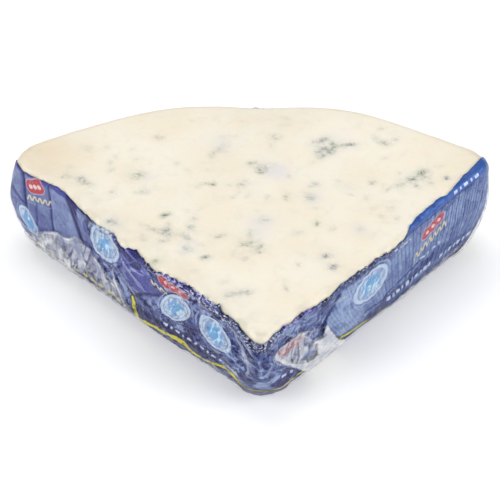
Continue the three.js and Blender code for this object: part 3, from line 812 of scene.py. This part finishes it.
SHAPES = [  # outlines (along, height) of crisp patches, partly print colour and partly painted fold shadow, how dark and how vivid they are
    ([(-120, 57), (-118.2, 50.5), (-112, 52), (-106, 51.2), (-102.5, 50.6), (-101, 57)],
     1, 0.6),
    ([(-159, 57), (-157, 51.4), (-149, 52.4), (-140, 52), (-131, 52.6), (-120, 52.2),
     (-119, 57)], 0.6, 0.5),
    ([(-118.5, 51), (-111.8, 52.2), (-113.5, 47), (-112.8, 43), (-110.6, 37.3),
     (-114.9, 42.6)], 1, 0.6),
    ([(-81.4, 49.5), (-79, 57), (-65, 57), (-67.3, 53.3), (-70.4, 50.7), (-74.5, 46.2),
     (-80, 47)], 1, 0.7),
    ([(-77.8, 42.7), (-70.6, 49.5), (-66.4, 50.5), (-68, 45.6), (-75, 43.6)], 1, 0.7),
    ([(-85.2, 36.3), (-80.7, 41.2), (-80.7, 38.9), (-84.4, 35.7)], 1, 0.7),
    ([(-79.7, 36.8), (-68, 45.6), (-60.3, 45.7), (-55.2, 39.9), (-62, 34), (-68.8, 30),
     (-75.5, 31)], 0.5, 0.45),
    ([(1.8, 19), (8.5, 27), (13, 21), (15, 12.6), (5.7, 9.5), (1.5, 12)], 1, 0.4),
]
BLUE_SHAPE = [(17.5, 25), (23.6, 26), (27.4, 25), (27.2, 18.2), (20.8, 19.6)]
PANELS = [  # along at heights 52 and 30 where each flat panel begins, and how much lighter its painted light makes it
    (-148, -146.5, -0.02), (-131.5, -131, 0.1), (-119.5, -110.5, -0.02), (-101, -101, -0.02),
]
FIRST_PANEL = -0.02  # the painted light of the panel before them
ROYAL_LOW = [(74, 53.4), (88, 52.9), (96, 52.1), (107, 51.4), (121, 52), (134, 52.4), (150, 53.6)]
FOLDS = [  # points (along, height), depth (mm, in if negative), half width, painted shade (painted highlight if negative)
    ([(-120, 54), (-117, 46), (-112.5, 37), (-110.5, 33)], -0.8, 1.4, 1),
    ([(-113, 50.5), (-110, 45), (-108, 41)], 0.4, 0.5, -0.5),
    ([(-120, 54), (-112, 54.5), (-103, 53.5)], -0.3, 1.6, 1),
    ([(-131.5, 53), (-131, 40), (-131, 29)], -0.4, 0.7, 0.75),
    ([(-140, 40), (-141, 30), (-144, 22)], -0.35, 0.6, 0.5),
    ([(-148, 54), (-147.5, 44), (-147, 33)], -0.6, 1, 0.85),
    ([(-158, 40), (-152, 38), (-147, 35.5)], -0.5, 0.8, 0.8),
    ([(-103, 34), (-105, 36), (-110, 34.5)], -0.4, 0.6, 0.4),
    ([(-75, 24), (-68, 31), (-62, 35), (-54, 41), (-47, 45.5), (-36, 49), (-30, 51.5)],
     -0.8, 1.1, 0.9),
    ([(-30, 51), (-20, 50), (-12, 48)], -0.4, 0.6, 0.6),
    ([(-66, 53.5), (-61, 48.5), (-60, 44)], -0.5, 0.8, 0.9),
    ([(-79, 53), (-70.2, 50.8)], 0.3, 0.4, -0.8),
    ([(-80, 47.5), (-72, 43), (-66, 44.5)], 0.3, 0.4, -0.7),
    ([(-87, 34), (-81.6, 28), (-77.8, 24)], 0.4, 0.5, -0.8),
    ([(-89, 35), (-85, 24), (-80.6, 14.4)], 0.6, 0.6, -0.6),
    ([(-79.5, 43), (-72, 38), (-65.8, 35)], 0.5, 0.5, -0.7),
    ([(-16.2, 52), (-9.5, 48), (-2, 41.4), (0.7, 33)], 0.5, 0.45, -0.9),
    ([(-14.5, 38.5), (-7.2, 37.3), (-0.4, 33.5)], 0.4, 0.4, -0.8),
    ([(-18.6, 30.5), (-7.2, 28), (-3.1, 28)], 0.4, 0.4, -0.7),
    ([(-7.4, 46), (-0.6, 39.5), (0.1, 29)], 0.4, 0.4, -0.8),
    ([(6.5, 38), (-0.2, 27)], 0.4, 0.4, -0.7),
    ([(-12.5, 47), (-5.5, 41), (-2, 34), (-1, 26)], -0.5, 0.7, 0.9),
    ([(-19, 35), (-10, 33), (-3, 27)], -0.4, 0.6, 0.8),
    ([(43.5, 47), (40.5, 42), (37.6, 38), (34, 33)], -0.9, 1.4, 1),
    ([(61, 21.5), (74, 20.5), (77, 23.5), (96, 27), (103, 28.5)], -0.5, 0.7, 0.85),
    ([(77, 19), (89, 18.3), (104, 21.5), (109, 24.8), (118, 27)], -0.4, 0.6, 0.6),
    ([(49.2, 42), (51.5, 27)], 0.25, 0.4, -0.8), ([(45.6, 41), (46.5, 29)], 0.25, 0.4, -0.7),
    ([(17, 51), (24, 46), (30, 47)], 0.3, 0.4, -0.6),
    ([(20, 45), (30, 42), (36, 47)], 0.3, 0.4, -0.6),
    ([(72, 52.8), (88, 52.3), (96, 51.6), (107, 50.9), (121, 51.6), (134, 52)], -0.4, 0.6, 0.7),
]


def line_distance(u, v, points):
    """Distance to a line of points, and the share of the way along it."""
    best = np.full_like(u, 1e9)
    share = np.zeros_like(u)
    for i, ((au, av), (bu, bv)) in enumerate(zip(points[:-1], points[1:])):
        du, dv = bu - au, bv - av
        t = np.clip(((u - au) * du + (v - av) * dv) / (du * du + dv * dv), 0, 1)
        gap = np.hypot(u - au - du * t, v - av - dv * t)
        share = np.where(gap < best, i + t, share)
        best = np.minimum(best, gap)
    return best, share / (len(points) - 1)


def polygon_gap(u, v, points):
    """Signed distance to a polygon's edge, negative inside it."""
    loop = [*points, points[0]]
    gap, _ = line_distance(u, v, loop)
    inside = np.zeros(u.shape, bool)
    for (au, av), (bu, bv) in zip(loop[:-1], loop[1:]):
        if av != bv:
            inside ^= ((av > v) != (bv > v)) & (u < au + (v - av) * (bu - au) / (bv - av))
    return np.where(inside, -gap, gap)


def back_copies():
    """The print on the rind: its shapes at an even pitch."""
    ovals, badges, scripts, rows = [], [], [], []
    for start, pitch in ((BACK_START, BACK_PITCH), (-BACK_START, -BACK_PITCH)):
        for p in (start, start + pitch):
            q = p + pitch / 2
            ovals.append((p, 34.0, 9.0, 8.0, 0))
            badges.append((q, 44.0, 7.5, 2.8, 0))
            scripts.append(((q - 8, 36.0), (q + 8, 37.0), 1.2))
            rows.append(((p - 12, 14.0), (p + 16, 14.0), 1.4))
    return ovals, badges, scripts, rows


def dash_distance(u, v, start, end, half):
    """Signed distance to a row of dashes and dots by turns."""
    run, rise = end[0] - start[0], end[1] - start[1]
    along, across = turned(u, v, *start, math.degrees(math.atan2(rise, run)))
    length = math.hypot(run, rise)
    beats = round(length / DASH_PITCH)
    step = length / beats
    beat = np.clip(np.floor(along / step), 0, beats - 1)
    reach = np.where(beat % 2 < 1, 0.36, 0.17) * step
    return np.maximum(np.abs(along - (beat + 0.5) * step) - reach, np.abs(across) - half)


OVAL_FAR, PRINT_FAR = 4.0, 9.0  # what places away from all of the print get


def oval_share(u, v, cu, cv, ru, rv, turn):
    """How far each place is on the way from an oval's middle to its edge."""
    a, b = turned(u, v, cu, cv, turn)
    return np.hypot(a / ru, b / rv)


def print_fields(u, v):
    """Signed distances to the print's shapes, in mm; oval is 1 at the nearest oval's edge."""
    ovals, badges, scripts, rows = back_copies()
    oval = np.full_like(u, OVAL_FAR)
    badge, dots, script, mark = (np.full_like(u, PRINT_FAR) for _ in range(4))
    for row in OVALS + ovals:
        oval = np.minimum(oval, oval_share(u, v, *row))
    for cu, cv, ru, rv, turn in BADGES + badges:
        a, b = turned(u, v, cu, cv, turn)
        badge = np.minimum(badge, np.hypot(np.maximum(np.abs(a) - (ru - rv), 0), b) - rv)
        for place in (-0.5, 0, 0.5):
            dots = np.minimum(dots, np.hypot(a - place * ru, b) - 0.36 * rv)
    for (au, av), (bu, bv), rise in SCRIPTS + scripts:
        offset = (v - lerp(av, bv, (u - au) / (bu - au))) / rise
        script = np.where((u > au) & (u < bu) & (np.abs(offset) < 3), offset, script)
    for row in MARK_ROWS + rows:
        mark = np.minimum(mark, dash_distance(u, v, *row))
    stripe, _ = line_distance(u, v, [row[:2] for row in STRIPE])
    branch, _ = line_distance(u, v, BRANCH)
    patchy = 1.6 * np.clip(np.sin(u * 0.9) + 0.8 * np.sin(u * 0.37), 0, 1) * ramp(u, -80, -86)
    stripe = np.minimum(stripe - at_place(STRIPE, u, 2) + patchy, branch - BRANCH_HALF)
    return {"oval": oval, "badge": badge, "dots": dots, "script": script, "mark": mark,
            "stripe": stripe}


def pleat_places(u, v):
    """Where fine upright pleats cover the right side."""
    return between(u, 34, 38, 148, 158) * between(v, 11, 18, 50.5, 54)


def pleat_slant(u):
    """How far the pleats lean, in mm along for each mm up."""
    return lerp(0.34, -0.05, ramp(u, 45, 125))


def smooth_places(u, v):
    """Where the foil lies smooth: the panels on the left end and the pleated right side."""
    left = between(u, -165, -150, -112, -100) * ramp(v, 20, 28)
    right = 0.85 * between(u, 34, 39, 150, 170)
    return np.clip(left + right + patches(u, v, [CALM_PATCH]), 0, 1)


def patches(u, v, table, fuzz=0):
    """The strongest share of a table's oval patches at each place; fuzz frays their edges."""
    total = np.zeros_like(u)
    for *oval, share in table:
        total = np.maximum(total, share * ramp(oval_share(u, v, *oval) + fuzz, 1.15, 0.9))
    return total


def panel_light(u, v):
    """The painted light and shade of each flat panel on the left end: how much lighter it is."""
    light = np.full_like(u, FIRST_PANEL)
    for high, low, value in PANELS:
        start = lerp(low, high, (v - 30) / 22)
        light = lerp(light, value, ramp(u - start, -0.3, 0.3))
    return light * between(u, -172, -160, -103, -97) * ramp(v, 22, 32)


def foil_looks(points, u, v, edge):
    """Fields for the foil's colour and its painted light and shade: edge is the mm past its upper
    edge.
    """
    fine = noise_of(points, (2.2, 2.2, 3.0), 9.1)
    smooth = smooth_places(u, v)
    right = between(u, 30, 40, 150, 166)
    strip = ramp(np.abs(u - 22), 14, 9)
    # light is the foil's painted light and shade, from dark to pale, with some random tone.
    light = 0.5 + 0.16 * noise_of(points, 8, 2.2) * (1 - 0.6 * smooth) + 0.24 * smooth
    light += 0.16 * between(u, 26, 36, 52, 66) - 0.04 * right + panel_light(u, v)
    # Painted shade along the foil's folded upper edge near the tip.
    rim = ramp(edge, -5.0, -2.5) * between(u, -112, -102, 70, 84)
    light = lerp(light, 0.12, (0.8 - 0.7 * strip) * rim)
    # dark holds the navy print and painted shade: darker towards the base, and in the folds'
    # creases.
    dark = np.maximum(patches(u, v, NAVY_PATCHES, 0.35 * fine), 0.8 * ramp(v, 17, 13))
    vivid = patches(u, v, VIVID_PATCHES, 0.5 * fine)
    for outline, darkness, vividness in SHAPES:
        within = ramp(polygon_gap(u, v, outline) + 0.4 * fine, 0.3, -0.3)
        dark = np.maximum(dark, darkness * within)
        vivid = np.maximum(vivid, vividness * within)
    # Painted highlights along the ridges of the folds.
    painted_fold_highlight = np.zeros_like(u)
    for line, _, half, share in FOLDS:
        gap, _ = line_distance(u, v, line)
        if share > 0:
            dark = np.maximum(dark, share * ramp(gap, half * 1.3, half * 0.4))
        else:
            painted_fold_highlight = np.maximum(painted_fold_highlight, -share * ramp(gap, half * 1.5, half * 0.5))
    royal = ramp(v - at_place(ROYAL_LOW, u), -0.2, 0.4) * between(u, 72, 84, 148, 154)
    royal = np.maximum(royal, ramp(polygon_gap(u, v, BLUE_SHAPE), 0.3, -0.3))
    near_tip = ramp(np.abs(u + 14), 44, 22)
    depth = lerp(-3.0, -6.0, near_tip)
    frill = ramp(edge, depth, depth * 0.45) * between(u, -110, -96, 76, 92)
    frill *= (0.65 + 0.35 * near_tip) * (1 - ramp(np.abs(u + 75), 13, 8) - 0.7 * strip)
    # crumple: how strongly the crumpled foil's painted light and shade and its bumps show.
    crumple = (1 - 0.85 * smooth) * (1 - 0.8 * dark) * lerp(1, 0.7, ramp(np.abs(u), 150, 175))
    pleat = pleat_places(u, v) * (1 - dark) * lerp(0.5, 1.6, ramp(u, 50, 130))
    return {"light": lerp(lerp(light, 0.05, dark), 1.1, painted_fold_highlight), "crumple": crumple,
            "blue": np.clip(right + 0.6 * ramp(np.abs(u), 34, 12), 0, 1), "vivid": vivid,
            "pleat": pleat, "royal": royal, "frill": frill, "slant": pleat_slant(u)}


def foil_relief(points, u, v, edge):
    """Creases and crumples, in mm outwards."""
    smooth = smooth_places(u, v)
    crumple = 0.7 * ridges_of(points, (9, 9, 12), 5.5) + 0.36 * ridges_of(points, (4, 4, 5), 8.8)
    crumple += 0.22 * noise_of(points, (2, 2, 2.6), 1.9)
    relief = (crumple - 0.25) * (1 - 0.85 * smooth)
    wave = np.sin(2 * math.pi * (u + pleat_slant(u) * v) / BROAD_PLEAT_PITCH)
    relief += PLEAT_DEPTH * wave * pleat_places(u, v)
    for line, depth, half, _ in FOLDS:
        gap, _ = line_distance(u, v, line)
        relief += depth * np.exp(-((gap / half) ** 2))
    relief += 0.5 * ramp(edge, -4.0, -1.5) * (1 - smooth) * noise_of(points, 2.2, 6.6)
    return relief * ramp(v, -2, 6)


def torn_places(along):
    """Where the foil's upper edge is torn and crumpled, not folded straight."""
    return between(along, -112, -96, 70, 86)


def edge_noise(st, size, seed):
    """Noise round the wedge's outline."""
    return noise_of(np.concatenate([st.top, np.zeros((st.count, 1))], 1), size, seed)


def edge_lengths(st):
    """How far up the foil reaches, in mm from the base round's top, without its torn teeth."""
    calm = between(st.along, 86, 96, 150, 160) + between(st.along, -160, -150, -120, -112)
    rag = 0.8 * edge_noise(st, 3.0, 3.3) + 0.35 * edge_noise(st, 1.6, 6.1)
    return st.high - st.low + at_place(FOIL_EDGE, st.along) + rag * (1 - 0.65 * calm)


def foil_lengths(st):
    """The same with its torn teeth."""
    teeth = TORN_TEETH * np.clip(edge_noise(st, 1.3, 2.7) - 0.05, 0, 1)
    return edge_lengths(st) + teeth * torn_places(st.along)


def grid(st, low_places, lengths, steps):
    """Rows of places from these on the base round to these lengths up, the height of each,
    and its place along."""
    low = np.repeat(np.array(low_places)[:, None], st.count, 1)
    length = np.linspace(0, 1, steps + 1)[:, None] * lengths
    place = np.concatenate([low, place_up(st, length)])
    v = np.concatenate([st.low + (low - 1) * BASE_ROUND * math.pi / 2, st.low + length])
    return place, v, np.broadcast_to(st.along, v.shape)


def closed_shell(st, rows):
    """One closed solid from rings of points that run up outside and down again inside."""
    points = rows.reshape(-1, 3)
    faces = band_faces(len(rows), st.count)
    for start, flip in ((0, True), (len(points) - st.count, False)):
        ring = range(start, start + st.count)
        points = np.concatenate([points, [[*MIDDLE, points[ring, 2].mean()]]])
        faces += cap_faces(ring, len(points) - 1, flip)
    return points, faces


def make_foil(st):
    lengths = foil_lengths(st)
    place, v, u = grid(st, np.linspace(0, 1, 9)[:-1], lengths, FOIL_STEPS)
    bare = skin(st, place, np.full_like(v, FOIL_OUTSIDE))
    edge = v - st.low - lengths
    curl = 0.5 * noise_of(bare, 3.0, 4.4) + 0.4 * torn_places(u) * noise_of(bare, 1.5, 8.4)
    out = FOIL_OUTSIDE + foil_relief(bare, u, v, edge) * ramp(place, 0.0, 0.35)
    out += ramp(edge, -2.2, 0.0) * curl
    end = st.along.max()
    out += OVERLAP_STEP * ramp(u, end - OVERLAP_WIDTH, end - 1)
    sag = sagging(st, place)
    outside = skin(st, place, np.maximum(out, FOIL_INSIDE + THINNEST_FOIL) + sag)
    in_rows = np.concatenate([[0, 4], np.linspace(8, len(place) - 1, 10).astype(int)])
    inside = skin(st, place[in_rows], FOIL_INSIDE + sag[in_rows])
    points, faces = closed_shell(st, np.concatenate([outside, inside[::-1]]))
    pick = np.concatenate([np.arange(len(place)), in_rows[::-1]])
    uu, vv, to_edge = (np.concatenate([a[pick].ravel(), [low, low]])
                       for a, low in ((u, 0), (v, UNDERSIDE), (edge, -FAR)))
    fields = print_fields(uu, vv) | foil_looks(points, uu, vv, to_edge)
    add_piece("foil_wrapping", points, faces, fields | {"along": uu, "up": vv},
              foil_material(), "foil_wrap")


# ---- The film --------------------------------------------------------------------------

HAZE_TOP = [  # along, height: the low haze's upper edge, partly bunched film and partly painted reflection of the pale floor, and how dense it is below
    (-272, 12, 0.15), (-190, 12, 0.2), (-165, 12, 0.4), (-158, 10, 0.6), (-150, 19, 0.7),
    (-147, 20.4, 0.8), (-135, 26.8, 0.85), (-127.5, 29.8, 0.85), (-123.7, 28.4, 0.8),
    (-119, 30.4, 0.7), (-114, 34.7, 0.65), (-108, 34.1, 0.6), (-104, 34.5, 0.5), (-98, 29, 0.5),
    (-91, 27, 0.5), (-86, 28.4, 0.5), (-82, 25, 0.45), (-78, 16, 0.3), (-70, 14, 0.12),
    (-40, 14, 0.08), (0, 14, 0.1), (44, 12, 0.3), (58, 9, 0.35), (76, 11, 0.5), (90, 13, 0.55),
    (120, 14, 0.55), (136, 16, 0.55), (146, 22, 0.6), (153, 30, 0.6), (160, 34, 0.5),
    (175, 20, 0.25), (272, 12, 0.15),
]
VEIL = [  # the outline of a milky patch of film beside the tip, partly slack film and partly painted glare: along, height
    (6.3, 37.8), (7, 40.5), (12, 42), (19, 42.5), (23.6, 40.3), (27, 32.7), (31, 31.6),
    (33.6, 31.7), (36.7, 35.9), (37.8, 29.9), (40.6, 19), (46, 12), (44, 1), (24, 1), (15.5, 14),
    (12, 25.5), (9.4, 30.9),
]
VEIL_DENSITY = 0.94
WINDOWS = [  # outlines in it, and how much clearer it is there
    ([(7.5, 42), (12, 44), (24, 44), (28, 33), (29.5, 29), (27.5, 22), (27, 17.5), (20, 18.5),
     (15, 24), (10.5, 33)], 0.22),
    (BLUE_SHAPE, 0.4), ([(23, 44), (30, 29), (35, 29), (33.4, 33), (28, 33)], 0.2),
]
CRESTS = [  # points (along, height), half width, strength: folds of film that catch the light
    ([(-89, 35.6), (-85, 25), (-80.6, 14.4)], 0.5, 0.7),
    ([(-79.3, 43), (-72, 38), (-65.8, 35)], 0.5, 0.6),
    ([(-84.7, 37.1), (-76, 30), (-70, 22)], 0.4, 0.5),
    ([(-19.6, 51), (-10, 46), (0.3, 39.9)], 0.5, 0.6),
    ([(-15.6, 47.5), (-8, 40), (-2, 30.9)], 0.5, 0.6),
    ([(-23.3, 26.6), (-12, 22), (-2, 17)], 0.5, 0.4),
    ([(-12, 44), (-6, 34), (-3, 24)], 0.4, 0.6), ([(4, 44), (7, 34), (12, 24)], 0.4, 0.45),
    ([(-147, 20.4), (-135, 27), (-127, 30), (-123.7, 28.6), (-119, 30.6), (-114, 34.9),
     (-108, 34.3)], 0.5, 0.8),
    ([(34, 44), (44, 46), (52, 45)], 0.4, 0.4),
    ([(14, 41), (21, 42.5), (28, 37.4), (36, 34.4)], 0.4, 0.4),
    ([(150, 50), (151, 38), (150, 24)], 0.9, 0.5),
]


def film_haze(points, u, v):
    """How milky the slack film is low down, partly its own bunching and partly painted reflection
    of the pale floor.
    """
    wobble = lerp(1.2, 0.5, ramp(u, -20, 5)) * noise_of(points, 4.5, 2.8)
    low = ramp(v - at_place(HAZE_TOP, u) - wobble, 0.5, -0.5) * at_place(HAZE_TOP, u, 2)
    gaps = ramp(noise_of(points, 6, 1.7), -0.15, 0.25) * ramp(v, 15.5, 12.5)
    return np.clip(low * ramp(v, 1.0, 8.0) * (1 - 0.55 * gaps), 0, 1)


def film_veil(points, u, v):
    """How milky the patch beside the tip is, partly slack film and partly painted glare."""
    wobble = 0.35 * noise_of(points, 3.0, 4.1)
    veil_and_reflection = VEIL_DENSITY * ramp(polygon_gap(u, v, VEIL) + wobble, 0.3, -0.3)
    for outline, clearer in WINDOWS:
        veil_and_reflection = veil_and_reflection - clearer * ramp(polygon_gap(u, v, outline) + wobble, 0.6, -0.6)
    return np.clip(veil_and_reflection, 0, 1)


def film_crest(points, u, v):
    """Bright folds and small glints."""
    wobble = noise_of(points, 6, 3.7)
    total = np.zeros_like(u)
    for line, half, strength in CRESTS:
        gap, share = line_distance(u + wobble, v + wobble, line)
        fade = np.sin(math.pi * np.clip(share, 0.08, 0.92))
        total = np.maximum(total, strength * fade * np.exp(-((gap / half) ** 2)))
    glints = ridges_of(points, (10, 10, 3.2), 7.3) ** 6 * (1 - smooth_places(u, v))
    return np.clip(total + 0.45 * glints * ramp(noise_of(points, 9, 5.1), 0.1, 0.5), 0, 1)


def make_film(st):
    foil = edge_lengths(st)
    place, v, u = grid(st, np.linspace(0.35, 1, 7)[:-1], foil + FILM_LIP, FILM_STEPS)
    bare = skin(st, place, np.full_like(v, FILM_OUTSIDE), PUFFS)
    edge = v - st.low - foil
    calm = smooth_places(u, v)
    crest, veil_and_reflection = film_crest(bare, u, v), film_veil(bare, u, v)
    haze_and_reflection = np.maximum(film_haze(bare, u, v), veil_and_reflection)
    wrinkle = 0.5 * ridges_of(bare, (9, 9, 14), 6.6) + 0.3 * ridges_of(bare, (4.5, 4.5, 8), 2.4)
    wrinkle *= (1 - 0.6 * calm) * (1 - 0.7 * veil_and_reflection)
    past = ramp(edge, -1.5, FILM_LIP)
    lift = (wrinkle + 0.5 * crest + 0.5 * haze_and_reflection) * (1 - past) - past * 0.3
    outside = skin(st, place, FILM_OUTSIDE + lift + sagging(st, place), PUFFS)
    fields = {"haze_and_reflection": haze_and_reflection, "crest": crest, "cover": ramp(edge, 0.0, -1.2), "calm": calm,
              "along": u, "up": v}
    add_piece("film_sleeve", outside.reshape(-1, 3), band_faces(len(place), st.count), fields,
              film_material(), "clear_film")


# ---- Floor, lights and camera ----------------------------------------------------------

FLOOR_HALF, FLOOR_LEVEL = 6.0, -0.0002
SKY, SKY_STRENGTH = (0.97, 0.98, 1.0, 1), 0.38
SOFT_BOXES = [  # name, place, size in metres and watts; each points at the object
    ("left_box", (-1.1, -0.45, 0.6), 0.9, 8.4), ("right_box", (1.1, -0.35, 0.6), 0.9, 8.4),
    ("top_box", (-0.15, 0.35, 1.3), 1.0, 4.8),
]
LENS, SENSOR = 80.27, 36.0
CAMERA_PLACE, CAMERA_AIM = (-0.00494, -0.36879, 0.37080), (0.00746, 0.72990, -0.68351)


def facing(direction):
    """The turn that points a lamp or camera this way."""
    return Vector(direction).to_track_quat("-Z", "Y").to_euler()


def make_floor():
    mesh = bpy.data.meshes.new("floor")
    sides = [(-1, -1), (1, -1), (1, 1), (-1, 1)]
    mesh.from_pydata([(x * FLOOR_HALF, y * FLOOR_HALF, FLOOR_LEVEL) for x, y in sides], [],
                     [(0, 1, 2, 3)])
    mesh.materials.append(floor_material())
    floor = link("floor", mesh)


def make_lights():
    world = bpy.data.worlds.new("studio")
    world.use_nodes = True
    sky = world.node_tree.nodes["Background"]
    sky.inputs["Color"].default_value = SKY
    sky.inputs["Strength"].default_value = SKY_STRENGTH
    bpy.context.scene.world = world
    for name, place, size, watts in SOFT_BOXES:
        data = bpy.data.lights.new(name, "AREA")
        data.shape, data.size, data.energy = "DISK", size, watts
        light = link(name, data)
        light.location = place
        light.rotation_euler = facing(-Vector(place))


def make_camera():
    data = bpy.data.cameras.new("camera")
    data.lens, data.sensor_width = LENS, SENSOR
    data.clip_start, data.clip_end = 0.01, 20.0
    camera = link("camera", data)
    camera.location = CAMERA_PLACE
    camera.rotation_euler = facing(CAMERA_AIM)
    bpy.context.scene.camera = camera


bpy.context.scene.view_settings.view_transform = "Standard"
make_camera()
make_lights()
make_floor()
around = plan_stations()
make_cheese(around)
make_foil(around)
make_film(around)
